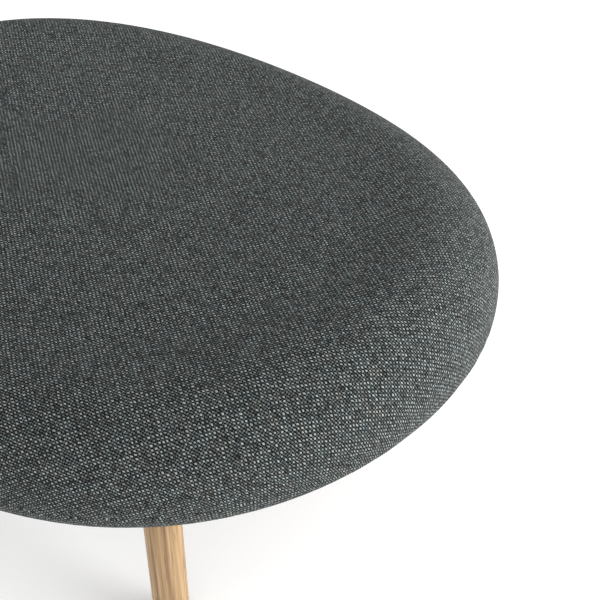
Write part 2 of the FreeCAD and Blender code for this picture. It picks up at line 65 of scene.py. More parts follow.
class SeatSettings(bpy.types.PropertyGroup):
    """Form and cloth of the seat pad."""

    seat_height: bpy.props.FloatProperty(
        name="Seat height", description="Height of the middle of the seat", default=0.340, unit="LENGTH")
    dish_radius: bpy.props.FloatProperty(
        name="Dish radius", description="Radius that the seat is dished to along its length",
        default=1.85, unit="LENGTH")
    crown_radius: bpy.props.FloatProperty(
        name="Crown radius", description="Radius that the seat is crowned to across its width",
        default=3.6, unit="LENGTH")
    pad_thickness: bpy.props.FloatProperty(
        name="Pad thickness", description="Thickness of the pad in its middle", default=0.099,
        unit="LENGTH")
    top_edge_radius: bpy.props.FloatProperty(
        name="Rolled edge", description="Radius of the rolled upper edge", default=0.064, unit="LENGTH")
    under_edge_radius: bpy.props.FloatProperty(
        name="Under edge", description="Radius of the lower edge", default=0.022, unit="LENGTH")
    outline_fullness: bpy.props.FloatProperty(
        name="Outline fullness", description="How far the oval's corners fill out", default=0.797)
    swell: bpy.props.FloatProperty(
        name="Swell", description="How far the cloth may swell out when the pad is filled",
        default=0.004, unit="LENGTH")
    fill_pressure: bpy.props.FloatProperty(
        name="Fill pressure", description="Pressure that the filling puts on the cloth", default=4.0)
    fill_frames: bpy.props.IntProperty(
        name="Fill frames", description="How many frames the cloth takes to swell", default=20)
    quad_size: bpy.props.FloatProperty(
        name="Quad size", description="Size of the pad's quads before they are refined", default=0.006,
        unit="LENGTH")
    warp_pitch: bpy.props.FloatProperty(
        name="Warp pitch", description="Distance between the lengthwise threads", default=0.00203,
        unit="LENGTH")
    weft_pitch: bpy.props.FloatProperty(
        name="Weft pitch", description="Distance between the crosswise threads", default=0.00216,
        unit="LENGTH")
    thread_turn: bpy.props.FloatProperty(
        name="Thread turn", description="Turn of the threads from the seat's length",
        default=math.radians(10.0), subtype="ANGLE")
    thread_wander: bpy.props.FloatProperty(
        name="Thread wander", description="How far the threads wander, in threads", default=1.15)
    thread_lift: bpy.props.FloatProperty(
        name="Thread lift", description="How far a thread rises over the one it crosses", default=0.6)
    warp_colour: bpy.props.FloatVectorProperty(
        name="Warp", description="Colour of the lengthwise threads", subtype="COLOR",
        default=(0.182, 0.208, 0.200))
    weft_colour: bpy.props.FloatVectorProperty(
        name="Weft", description="Colour of the crosswise threads", subtype="COLOR",
        default=(0.064, 0.073, 0.070))
    # Painted shade: the near-black that the sides of the threads and the gaps between them are darkened to
    gap_shade_colour: bpy.props.FloatVectorProperty(
        name="Gap", description="Colour between the threads", subtype="COLOR",
        default=(0.001, 0.0011, 0.0012))


class LegSettings(bpy.types.PropertyGroup):
    """Form and wood of the legs."""

    top_radius: bpy.props.FloatProperty(
        name="Top radius", description="Radius of a leg at its plate", default=0.0175, unit="LENGTH")
    foot_radius: bpy.props.FloatProperty(
        name="Foot radius", description="Radius of a leg at its foot", default=0.0165, unit="LENGTH")
    edge_bevel: bpy.props.FloatProperty(
        name="Edge bevel", description="Width of the bevel at both ends", default=0.0014, unit="LENGTH")
    spare_length: bpy.props.FloatProperty(
        name="Spare length", description="What is cut off the bar at each end", default=0.0056,
        unit="LENGTH")
    light_wood: bpy.props.FloatVectorProperty(
        name="Early wood", description="Colour of the pale wood", subtype="COLOR",
        default=(0.515, 0.336, 0.168))
    dark_wood: bpy.props.FloatVectorProperty(
        name="Late wood", description="Colour of the dark bands in the wood", subtype="COLOR",
        default=(0.20, 0.110, 0.050))


class UndersideSettings(bpy.types.PropertyGroup):
    """Cloth and staples under the seat."""

    dust_cloth_thickness: bpy.props.FloatProperty(
        name="Dust cloth", description="Thickness of the cloth below the seat", default=0.0007,
        unit="LENGTH")
    cloth_depth: bpy.props.FloatProperty(
        name="Cloth depth", description="Depth of the cloth's middle below the seat", default=0.0004,
        unit="LENGTH")
    cloth_sag: bpy.props.FloatProperty(
        name="Cloth sag", description="How far the cloth sags", default=0.0005, unit="LENGTH")
    hole_clearance: bpy.props.FloatProperty(
        name="Hole clearance", description="Room between the cloth and a leg plate", default=0.002,
        unit="LENGTH")
    staple_inset: bpy.props.FloatProperty(
        name="Staple inset", description="Distance of the staples from the cloth's edge", default=0.007,
        unit="LENGTH")
    staple_depth: bpy.props.FloatProperty(
        name="Staple depth", description="Depth of the staples below the seat", default=0.001,
        unit="LENGTH")
    staple_pitch: bpy.props.FloatProperty(
        name="Staple pitch", description="Distance between the staples", default=0.036, unit="LENGTH")
    staple_crown: bpy.props.FloatProperty(
        name="Staple crown", description="Length of a staple's crown", default=0.0105, unit="LENGTH")
    staple_wire: bpy.props.FloatProperty(
        name="Staple wire", description="Width of a staple's wire", default=0.0011, unit="LENGTH")


class StageSettings(bpy.types.PropertyGroup):
    """Camera, floor and light."""

    camera_place: bpy.props.FloatVectorProperty(
        name="Camera place", description="Where the camera stands", subtype="XYZ_LENGTH",
        default=(0.6789, -0.5487, 0.9517))
    camera_pitch: bpy.props.FloatProperty(
        name="Camera pitch", description="How far the camera looks down", default=math.radians(41.171),
        subtype="ANGLE")
    camera_turn: bpy.props.FloatProperty(
        name="Camera turn", description="Turn of the camera from the rear", default=math.radians(40.329),
        subtype="ANGLE")
    focal_length: bpy.props.FloatProperty(
        name="Focal length", description="Lens for a 36 mm sensor, in millimetres", default=71.86)
    key_power: bpy.props.FloatProperty(
        name="Key light", description="Power of the large soft light", default=54.0, unit="POWER")
    key_size: bpy.props.FloatProperty(
        name="Key size", description="Diameter of the large soft light", default=1.6, unit="LENGTH")
    key_place: bpy.props.FloatVectorProperty(
        name="Key place", description="Where the large soft light stands", subtype="XYZ_LENGTH",
        default=(2.1, 0.85, 0.95))
    key_aim: bpy.props.FloatVectorProperty(
        name="Key aim", description="What the large soft light is aimed at", subtype="XYZ_LENGTH",
        default=(0.1, 0.0, 0.3))
    bright_side: bpy.props.FloatProperty(
        name="Bright side", description="Strength of the room's light from its bright side", default=1.45)
    dim_side: bpy.props.FloatProperty(
        name="Dim side", description="Strength of the room's light from its dim side", default=0.535)
    bright_way: bpy.props.FloatVectorProperty(
        name="Bright way", description="Way towards the room's bright side", subtype="DIRECTION",
        default=(0.61, -0.61, -0.505))
    floor_size: bpy.props.FloatProperty(
        name="Floor size", description="Length of the floor's sides", default=30.0, unit="LENGTH")
    floor_colour: bpy.props.FloatVectorProperty(
        name="Floor", description="Colour of the floor", subtype="COLOR", default=(0.86, 0.86, 0.86))
    floor_glow: bpy.props.FloatProperty(
        name="Floor glow", description="How far the floor is lit from below, so shadows stay faint",
        default=0.25)


# Modelling helpers


def deselect_all():
    """Leave object mode with nothing selected."""
    if bpy.context.object and bpy.context.object.mode != "OBJECT":
        bpy.ops.object.mode_set(mode="OBJECT")
    bpy.ops.object.select_all(action="DESELECT")


def activate(piece):
    """Make one piece the only selected and active object."""
    deselect_all()
    piece.select_set(True)
    bpy.context.view_layer.objects.active = piece


def apply_modifiers(piece):
    """Apply every modifier of a piece, in order."""
    activate(piece)
    for name in [modifier.name for modifier in piece.modifiers]:
        bpy.ops.object.modifier_apply(modifier=name)


def apply_place(piece):
    """Move a piece's place, turn and scale into its mesh."""
    activate(piece)
    bpy.ops.object.transform_apply(location=True, rotation=True, scale=True)


def vertex_places(mesh):
    """The places of a mesh's vertices as an array."""
    places = np.empty(len(mesh.vertices) * 3)
    mesh.vertices.foreach_get("co", places)
    return places.reshape(-1, 3)


def set_vertex_places(mesh, places):
    """Move a mesh's vertices."""
    mesh.vertices.foreach_set("co", np.ascontiguousarray(places).ravel())
    mesh.update()


def start_selection(piece, kind):
    """Go through edit mode so that only that kind of element counts and none is selected."""
    activate(piece)
    bpy.ops.object.mode_set(mode="EDIT")
    bpy.ops.mesh.select_mode(type=kind)
    bpy.ops.mesh.select_all(action="DESELECT")
    bpy.ops.object.mode_set(mode="OBJECT")


def copy_of_node(node, name):
    """A new piece with the mesh of a CAD node, its loose triangles joined."""
    piece = bpy.data.objects.new(name, NODES[node].data.copy())
    piece.data.name = name
    piece.data.materials.clear()
    bpy.context.scene.collection.objects.link(piece)
    activate(piece)
    bpy.ops.object.mode_set(mode="EDIT")
    bpy.ops.mesh.select_all(action="SELECT")
    bpy.ops.mesh.remove_doubles(threshold=MERGE_DISTANCE)
    bpy.ops.object.mode_set(mode="OBJECT")
    return piece


def finish_piece(piece, material):
    """Give a piece its material and slot, and let it ride on the ottoman's one body."""
    piece.data.materials.clear()
    piece.data.materials.append(material)
    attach(piece, "root")


# Seat form, shared by the pad and the cloths


def outline_points(seat, inset, count):
    """Points round the seat's outline, four conic quarters moved inwards, with the way out at each."""
    step = np.linspace(0.0, 1.0, count // 4 + 1)
    start = (1.0 - step) ** 2
    corner = 2.0 * step * (1.0 - step) * seat.outline_fullness
    end = step ** 2
    quarter = np.stack([SEAT_HALF_LENGTH * (start + corner), SEAT_HALF_WIDTH * (corner + end)], axis=1)
    quarter /= (start + corner + end)[:, None]
    other = quarter[:0:-1] * (-1.0, 1.0)
    half = np.vstack([quarter[:-1], other])
    outline = np.vstack([half, -half])
    ahead = np.roll(outline, -1, axis=0) - np.roll(outline, 1, axis=0)
    out = np.stack([ahead[:, 1], -ahead[:, 0]], axis=1)
    out /= np.linalg.norm(out, axis=1, keepdims=True)
    return outline - inset * out, out


def dish_rise(radius, along):
    """How far a face bent to a radius about the dish axis rises from its middle."""
    return radius - np.sqrt(radius ** 2 - along ** 2)


def top_height(seat, along, across):
    """Height of the dished and crowned seat."""
    crown_drop = seat.crown_radius - np.sqrt(seat.crown_radius ** 2 - across ** 2)
    radius = seat.dish_radius + crown_drop
    return seat.seat_height - crown_drop + dish_rise(radius, along)


def under_height(seat, along, depth=0.0):
    """Height of the pad's bent underside, or of a face some depth below it."""
    radius = seat.dish_radius + seat.pad_thickness + depth
    return seat.seat_height - seat.pad_thickness - depth + dish_rise(radius, along)


# Points round the outline among which the nearest to each point of the pad is found
CLOTH_RING_POINTS = 12000


def cloth_places(seat, places):
    """Where each point of the pad lies on the flat cloth before it is drawn over the edge, in metres."""
    edge = seat.top_edge_radius
    under = seat.under_edge_radius
    ring, out = outline_points(seat, edge, CLOTH_RING_POINTS)
    finder = kdtree.KDTree(len(ring))
    for number, spot in enumerate(ring):
        finder.insert((*spot, 0.0), number)
    finder.balance()
    plan = places[:, :2]
    nearest = np.array([finder.find((*spot, 0.0))[1] for spot in plan])
    foot = ring[nearest]
    way = out[nearest]
    reach = ((plan - foot) * way).sum(axis=1)
    height = places[:, 2]
    roll_centre = top_height(seat, foot[:, 0], foot[:, 1]) - edge
    floor = under_height(seat, plan[:, 0])
    middle = 0.5 * (roll_centre + floor + under)
    upper = height > middle
    roll = np.clip(np.arctan2(reach, height - roll_centre), 0.0, 0.5 * math.pi)
    over_edge = edge * roll + np.where(height < roll_centre, roll_centre - height, 0.0)
    tuck = np.arctan2(floor + under - height, reach - (edge - under))
    tuck = np.clip(tuck, 0.0, 0.5 * math.pi)
    below = edge * 0.5 * math.pi + (roll_centre - floor - under) + under * tuck
    below += np.where(reach < edge - under, edge - under - reach, 0.0)
    drawn = np.where(upper, over_edge, below)
    spread = foot + way * drawn[:, None]
    on_top = upper & (reach < 0)
    spread[on_top] = plan[on_top]
    return spread


def add_cloth_map(piece, spread):
    """A UV map that lays the cloth's threads over the pad, in metres."""
    mesh = piece.data
    uv_map = mesh.uv_layers.new(name="cloth")
    corners = np.empty(len(mesh.loops), dtype=int)
    mesh.loops.foreach_get("vertex_index", corners)
    uv_map.data.foreach_set("uv", spread[corners].ravel())


# Shader helpers


class NodeBoard:
    """Adds and links the nodes of one shader tree."""

    def __init__(self, tree):
        self.tree = tree

    def add(self, kind, inputs=None, **options):
        """A node, with its options set and its inputs set or linked."""
        node = self.tree.nodes.new(kind)
        for name, value in options.items():
            setattr(node, name, value)
        for name, value in (inputs or {}).items():
            self.feed(node.inputs[name], value)
        return node

    def feed(self, socket, value):
        """Link a socket to another, or set it."""
        if isinstance(value, bpy.types.NodeSocket):
            self.tree.links.new(value, socket)
        else:
            socket.default_value = value

    def math(self, operation, first, second=0.0, third=0.0):
        """The result of a Math node."""
        node = self.add("ShaderNodeMath", {0: first, 1: second, 2: third}, operation=operation)
        return node.outputs[0]

    def scaled(self, vector, factor):
        """A colour or vector times a value."""
        node = self.add("ShaderNodeVectorMath", {0: vector, "Scale": factor}, operation="SCALE")
        return node.outputs[0]

    def bump(self, height, strength, distance):
        """The normal of a Bump node."""
        node = self.add("ShaderNodeBump", {"Height": height, "Strength": strength, "Distance": distance})
        return node.outputs[0]

    def mix(self, factor, first, second, blend="MIX"):
        """The colour of a Mix node."""
        node = self.add("ShaderNodeMix", {"Factor": factor, 6: first, 7: second}, data_type="RGBA",
                        blend_type=blend)
        return node.outputs[2]

    def noise(self, place, scale, detail=2.0, roughness=0.5):
        """The value of a Noise Texture."""
        node = self.add("ShaderNodeTexNoise", {"Vector": place, "Scale": scale, "Detail": detail,
                                               "Roughness": roughness})
        return node.outputs["Fac"]

    def remap(self, value, low, high, new_low=0.0, new_high=1.0):
        """A value moved from one range to another, kept inside it."""
        node = self.add("ShaderNodeMapRange", {"Value": value, 1: low, 2: high, 3: new_low, 4: new_high})
        return node.outputs[0]

    def stretched(self, place, scale, turn=(0.0, 0.0, 0.0)):
        """A place scaled along each axis and turned."""
        node = self.add("ShaderNodeMapping", {"Vector": place, "Scale": scale, "Rotation": turn})
        return node.outputs[0]


def colour(value):
    """A colour setting with its alpha."""
    return (*value, 1.0)


def new_material(name):
    """An empty material with its board, its Principled shader and Object coordinates."""
    material = bpy.data.materials.new(name)
    material.use_nodes = True
    board = NodeBoard(material.node_tree)
    shader = material.node_tree.nodes["Principled BSDF"]
    place = board.add("ShaderNodeTexCoord").outputs["Object"]
    return material, board, shader, place


def new_group(name, inputs, outputs):
    """An empty shader node group with its board and the sockets inside it."""
    tree = bpy.data.node_groups.new(name, "ShaderNodeTree")
    for socket, kind in inputs.items():
        tree.interface.new_socket(socket, in_out="INPUT", socket_type=kind)
    for socket, kind in outputs.items():
        tree.interface.new_socket(socket, in_out="OUTPUT", socket_type=kind)
    board = NodeBoard(tree)
    return tree, board, board.add("NodeGroupInput").outputs, board.add("NodeGroupOutput").inputs


# For the lengthwise and the crosswise threads: the axis across them, the axis along them, the seed of
# their noise and how proud they stand
THREADS = {"warp": (1, 0, 3.7, 1.1), "weft": (0, 1, 41.3, 0.94)}
# How fast a thread's slubs follow each other, and how far apart in the noise one thread is from the next
SLUB_PACE = 0.6
SLUB_STEP = 7.31
# How far a slub and each crossing of two threads go from the middle tone
SLUB_TONE = 0.2
CROSSING_TONE = 0.58
# Heights of the weave between which the painted shade of the gaps gives way to the thread's own colour
FULL_SHADE_HEIGHT = 0.98
UNSHADED_HEIGHT = 1.26


def plain_weave_group():
    """Plain weave in thread units: which thread is on top, how high it stands, and its tone."""
    tree, board, given, result = new_group(
        "Plain weave",
        {"Place": "NodeSocketVector", "Wander": "NodeSocketFloat", "Lift": "NodeSocketFloat"},
        {"Warp on top": "NodeSocketFloat", "Height": "NodeSocketFloat", "Tone": "NodeSocketFloat"})
    drift = board.add("ShaderNodeTexNoise", {"Vector": given["Place"], "Scale": 0.45, "Detail": 3.0})
    drift_vector = board.add("ShaderNodeVectorMath", {0: drift.outputs["Color"], 1: (0.5, 0.5, 0.5)},
                             operation="SUBTRACT").outputs[0]
    wander = board.scaled(drift_vector, given["Wander"])
    moved = board.add("ShaderNodeVectorMath", {0: given["Place"], 1: wander}, operation="ADD").outputs[0]
    apart = board.add("ShaderNodeSeparateXYZ", {0: moved})
    numbers = {}
    waves = {}
    tones = {}
    for thread, (across, along, seed, crown) in THREADS.items():
        number = board.math("FLOOR", apart.outputs[across])
        offset = board.math("SUBTRACT", board.math("FRACT", apart.outputs[across]), 0.5)
        spot = board.add("ShaderNodeCombineXYZ", {0: board.math("MULTIPLY", apart.outputs[along], SLUB_PACE),
                                                  1: board.math("MULTIPLY", number, SLUB_STEP), 2: seed})
        round_form = board.math("COSINE", board.math("MULTIPLY", offset, math.pi))
        numbers[thread] = number
        waves[thread] = board.math("MULTIPLY", round_form, crown)
        tones[thread] = board.noise(spot.outputs[0], 1.0, detail=1.0)
    even = board.math("FLOORED_MODULO", board.math("ADD", numbers["warp"], numbers["weft"]), 2.0)
    side = board.math("MULTIPLY_ADD", even, 2.0, -1.0)
    lift = board.math("MULTIPLY", side, given["Lift"])
    warp_height = board.math("MULTIPLY_ADD", waves["weft"], lift, waves["warp"])
    drop = board.math("MULTIPLY", lift, -1.0)
    weft_height = board.math("MULTIPLY_ADD", waves["warp"], drop, waves["weft"])
    warp_on_top = board.math("GREATER_THAN", warp_height, weft_height)
    slub = board.add("ShaderNodeMix", {0: warp_on_top, 2: tones["weft"], 3: tones["warp"]},
                     data_type="FLOAT").outputs[0]
    crossing = board.add("ShaderNodeCombineXYZ", {0: numbers["warp"], 1: numbers["weft"]})
    own = board.add("ShaderNodeTexWhiteNoise", {"Vector": crossing.outputs[0]}, noise_dimensions="2D")
    tone = board.math("ADD", board.remap(slub, 0.25, 0.75, -SLUB_TONE, SLUB_TONE),
                      board.remap(own.outputs["Value"], 0.0, 1.0, -CROSSING_TONE, CROSSING_TONE))
    board.feed(result["Warp on top"], warp_on_top)
    board.feed(result["Height"], board.math("MAXIMUM", warp_height, weft_height))
    board.feed(result["Tone"], tone)
    return tree


def woven_fabric(seat):
    """Heathered plain weave: pale warp floats over a dark weft, with painted shade that darkens each thread
    towards its sides and fills the gaps between them.
    """
    material, board, shader, _ = new_material("woven_fabric")
    cloth = board.add("ShaderNodeUVMap", uv_map="cloth").outputs[0]
    turned = board.stretched(cloth, (1.0, 1.0, 1.0), (0.0, 0.0, -seat.thread_turn))
    place = board.stretched(turned, (1.0 / seat.weft_pitch, 1.0 / seat.warp_pitch, 1.0))
    weave = board.add("ShaderNodeGroup", node_tree=plain_weave_group())
    board.feed(weave.inputs["Place"], place)
    weave.inputs["Wander"].default_value = seat.thread_wander
    weave.inputs["Lift"].default_value = seat.thread_lift
    height = weave.outputs["Height"]
    fibre_noise = board.noise(place, 2.6, detail=2.0, roughness=0.65)
    fibres = board.remap(fibre_noise, 0.3, 0.7, 0.3, 1.7)
    darkest = 0.04
    tone = board.math("MAXIMUM", board.math("ADD", weave.outputs["Tone"], fibres), darkest)
    threads = board.mix(weave.outputs["Warp on top"], colour(seat.weft_colour), colour(seat.warp_colour))
    toned = board.scaled(threads, tone)
    blotch = board.noise(place, 0.17, detail=2.0)
    warm_tint = (1.05, 0.985, 0.96, 1.0)
    cool_tint = (0.965, 1.0, 1.035, 1.0)
    tint = board.mix(board.remap(blotch, 0.35, 0.65), warm_tint, cool_tint)
    tinted = board.mix(1.0, toned, tint, blend="MULTIPLY")
    # Painted shade: the lower a point of the weave stands, the more its colour is darkened towards the gap's
    # near-black
    depth = board.remap(height, FULL_SHADE_HEIGHT, UNSHADED_HEIGHT)
    board.feed(shader.inputs["Base Color"], board.mix(depth, colour(seat.gap_shade_colour), tinted))
    shader.inputs["Roughness"].default_value = 0.92
    shader.inputs["Specular IOR Level"].default_value = 0.15
    shader.inputs["Sheen Weight"].default_value = 0.03
    shader.inputs["Sheen Roughness"].default_value = 0.5
    board.feed(shader.inputs["Normal"], board.bump(height, 0.5, 0.4 * MM))
    return material


def oak(legs):
    """Oak with straight grain along the leg, fine pores and a matt finish."""
    material, board, shader, _ = new_material("oak")
    place = board.add("ShaderNodeAttribute", attribute_name="grain").outputs["Vector"]
    bands = board.noise(board.stretched(place, (130.0, 130.0, 2.6)), 1.0, detail=4.0, roughness=0.6)
    fine = board.noise(board.stretched(place, (420.0, 420.0, 9.0)), 1.0, detail=3.0)
    pores = board.noise(board.stretched(place, (900.0, 900.0, 26.0)), 1.0, detail=1.0)
    wood = board.mix(board.remap(bands, 0.42, 0.64), colour(legs.light_wood), colour(legs.dark_wood))
    streak = board.remap(fine, 0.3, 0.7, 1.12, 0.72)
    pore = board.remap(pores, 0.58, 0.72, 1.0, 0.5)
    shade = board.math("MULTIPLY", streak, pore)
    board.feed(shader.inputs["Base Color"], board.scaled(wood, shade))
    board.feed(shader.inputs["Roughness"], board.remap(fine, 0.2, 0.8, 0.5, 0.66))
    board.feed(shader.inputs["Normal"], board.bump(pore, 0.3, 0.2 * MM))
    return material


def zinc(name, base, roughness):
    """Zinc-plated steel with a faint spangle and handling marks."""
    material, board, shader, place = new_material(name)
    spangle = board.noise(place, 260.0, detail=3.0)
    marks = board.noise(place, 45.0, detail=4.0, roughness=0.65)
    pale = tuple(min(1.0, 1.18 * part) for part in base)
    dull = tuple(0.78 * part for part in base)
    tone = board.remap(spangle, 0.35, 0.65)
    board.feed(shader.inputs["Base Color"], board.mix(tone, colour(dull), colour(pale)))
    board.feed(shader.inputs["Roughness"], board.remap(marks, 0.3, 0.7, roughness, roughness + 0.22))
    shader.inputs["Metallic"].default_value = 1.0
    return material


def matt_surface(name, dark, light, scale, roughness, bump_height=0.1 * MM):
    """A dull moulded, pressed or spun surface with a fine grain."""
    material, board, shader, place = new_material(name)
    grain = board.noise(place, scale, detail=4.0, roughness=0.7)
    broad = board.noise(place, 0.06 * scale, detail=2.0)
    mottle = board.math("MULTIPLY_ADD", broad, 0.4, board.math("MULTIPLY", grain, 0.6))
    tone = board.remap(mottle, 0.3, 0.7)
    board.feed(shader.inputs["Base Color"], board.mix(tone, colour(dark), colour(light)))
    board.feed(shader.inputs["Roughness"], board.remap(grain, 0.3, 0.7, roughness - 0.08, roughness + 0.08))
    board.feed(shader.inputs["Normal"], board.bump(grain, 0.5, bump_height))
    return material


def plywood():
    """Sanded plywood, its face grain along the seat."""
    material, board, shader, place = new_material("bent_plywood")
    grain = board.noise(board.stretched(place, (5.0, 90.0, 400.0)), 1.0, detail=5.0, roughness=0.6)
    pale = (0.62, 0.45, 0.26, 1.0)
    dark = (0.47, 0.31, 0.16, 1.0)
    board.feed(shader.inputs["Base Color"], board.mix(board.remap(grain, 0.3, 0.7), pale, dark))
    board.feed(shader.inputs["Roughness"], board.remap(grain, 0.3, 0.7, 0.6, 0.75))
    return material


# Seat pad

# Share of the way from the middle at which each face is judged: outer faces look away from that point
CORE_SHARE = 0.7
# The top is free up to this share of the way to the outline, and is held more and more beyond it
FREE_REACH = 0.58
HOLD_FADE = 0.2
# A face of the top looks up at least this much
TOP_UPWARD = 0.5
# What smoothing takes off all round
SMOOTHING_LOSS = 0.4 * MM
# Stands in for no movement at all, so that nothing is divided by zero
LEAST_MOVE = 1e-9


class OTTOMAN_OT_seat_pad(bpy.types.Operator):
    """Fill the fabric cover like a cushion and lay its weave over the rolled edge"""

    bl_idname = "ottoman.seat_pad"
    bl_label = "Seat pad"

    def execute(self, context):
        seat = context.scene.ottoman_seat
        pad = self.outer_skin(seat)
        self.remesh(pad, seat.quad_size)
        self.fill(pad, seat)
        self.smooth(pad)
        add_cloth_map(pad, cloth_places(seat, vertex_places(pad.data)))
        bpy.ops.object.shade_smooth()
        finish_piece(pad, woven_fabric(seat))
        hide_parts("seat_cover", "seat_wadding", "seat_foam")
        return {"FINISHED"}

    def outer_skin(self, seat):
        """The outside of the cover, closed across its opening below."""
        pad = copy_of_node("seat_cover", "seat_pad")
        half_way = 0.5 * seat.pad_thickness
        start_selection(pad, "FACE")
        for face in pad.data.polygons:
            middle = face.center * CORE_SHARE
            middle.z = under_height(seat, face.center.x) + half_way
            face.select = face.normal.dot(face.center - middle) < 0
        bpy.ops.object.mode_set(mode="EDIT")
        bpy.ops.mesh.delete(type="FACE")
        bpy.ops.mesh.select_all(action="SELECT")
        bpy.ops.mesh.fill_holes(sides=0)
        bpy.ops.mesh.quads_convert_to_tris()
        bpy.ops.object.mode_set(mode="OBJECT")
        return pad

    def remesh(self, pad, quad_size):
        """Even quads all over the pad."""
        remesh = pad.modifiers.new("even_quads", "REMESH")
        remesh.mode = "VOXEL"
        remesh.voxel_size = quad_size
        remesh.use_smooth_shade = True
        apply_modifiers(pad)

    def fill(self, pad, seat):
        """Start with the top a little low and let the cloth swell until it is tight, its edge held."""
        free, held = self.hold_edge(pad)
        lower = pad.modifiers.new("start_low", "DISPLACE")
        lower.mid_level = 0.0
        lower.strength = -seat.swell
        lower.vertex_group = free.name
        apply_modifiers(pad)
        start = vertex_places(pad.data)
        cloth = pad.modifiers.new("filling", "CLOTH")
        cloth.settings.quality = 5
        cloth.settings.mass = 0.3
        cloth.settings.use_pressure = True
        cloth.settings.uniform_pressure_force = seat.fill_pressure
        cloth.settings.vertex_group_mass = held.name
        cloth.settings.effector_weights.gravity = 0.0
        cloth.collision_settings.use_collision = False
        cloth.collision_settings.use_self_collision = False
        for step in range(1, seat.fill_frames + 1):
            bpy.context.scene.frame_set(step)
        apply_modifiers(pad)
        moved = vertex_places(pad.data) - start
        length = np.linalg.norm(moved, axis=1, keepdims=True)
        moved *= np.minimum(1.0, seat.swell / np.maximum(length, LEAST_MOVE))
        set_vertex_places(pad.data, start + moved)
        pad.vertex_groups.clear()
        bpy.context.scene.frame_set(1)

    def hold_edge(self, pad):
        """Vertex groups for the inner top, which is free to swell, and for the rest, which is held."""
        places = vertex_places(pad.data)
        upward = np.array([vertex.normal.z for vertex in pad.data.vertices])
        reach = np.hypot(places[:, 0] / SEAT_HALF_LENGTH, places[:, 1] / SEAT_HALF_WIDTH)
        fade = np.clip((reach - FREE_REACH) / HOLD_FADE, 0.0, 1.0)
        hold = np.where(upward > TOP_UPWARD, fade, 1.0)
        free = pad.vertex_groups.new(name="free_top")
        held = pad.vertex_groups.new(name="held")
        for index, weight in enumerate(hold.tolist()):
            free.add([index], 1.0 - weight, "REPLACE")
            held.add([index], weight, "REPLACE")
        return free, held

    def smooth(self, pad):
        """Even out the remesh's steps, make up for what that takes off, and refine once."""
        smooth = pad.modifiers.new("even_out", "SMOOTH")
        smooth.factor = 0.5
        smooth.iterations = 6
        regain = pad.modifiers.new("regain", "DISPLACE")
        regain.mid_level = 0.0
        regain.strength = SMOOTHING_LOSS
        finer = pad.modifiers.new("finer", "SUBSURF")
        finer.levels = 1
        finer.render_levels = 1
        apply_modifiers(pad)


# Legs

LEG_SIDES = 72
# How far apart in the plank the grain of one leg and the next is taken
PLANK_STEP = Vector((0.7, 0.3, 1.9))


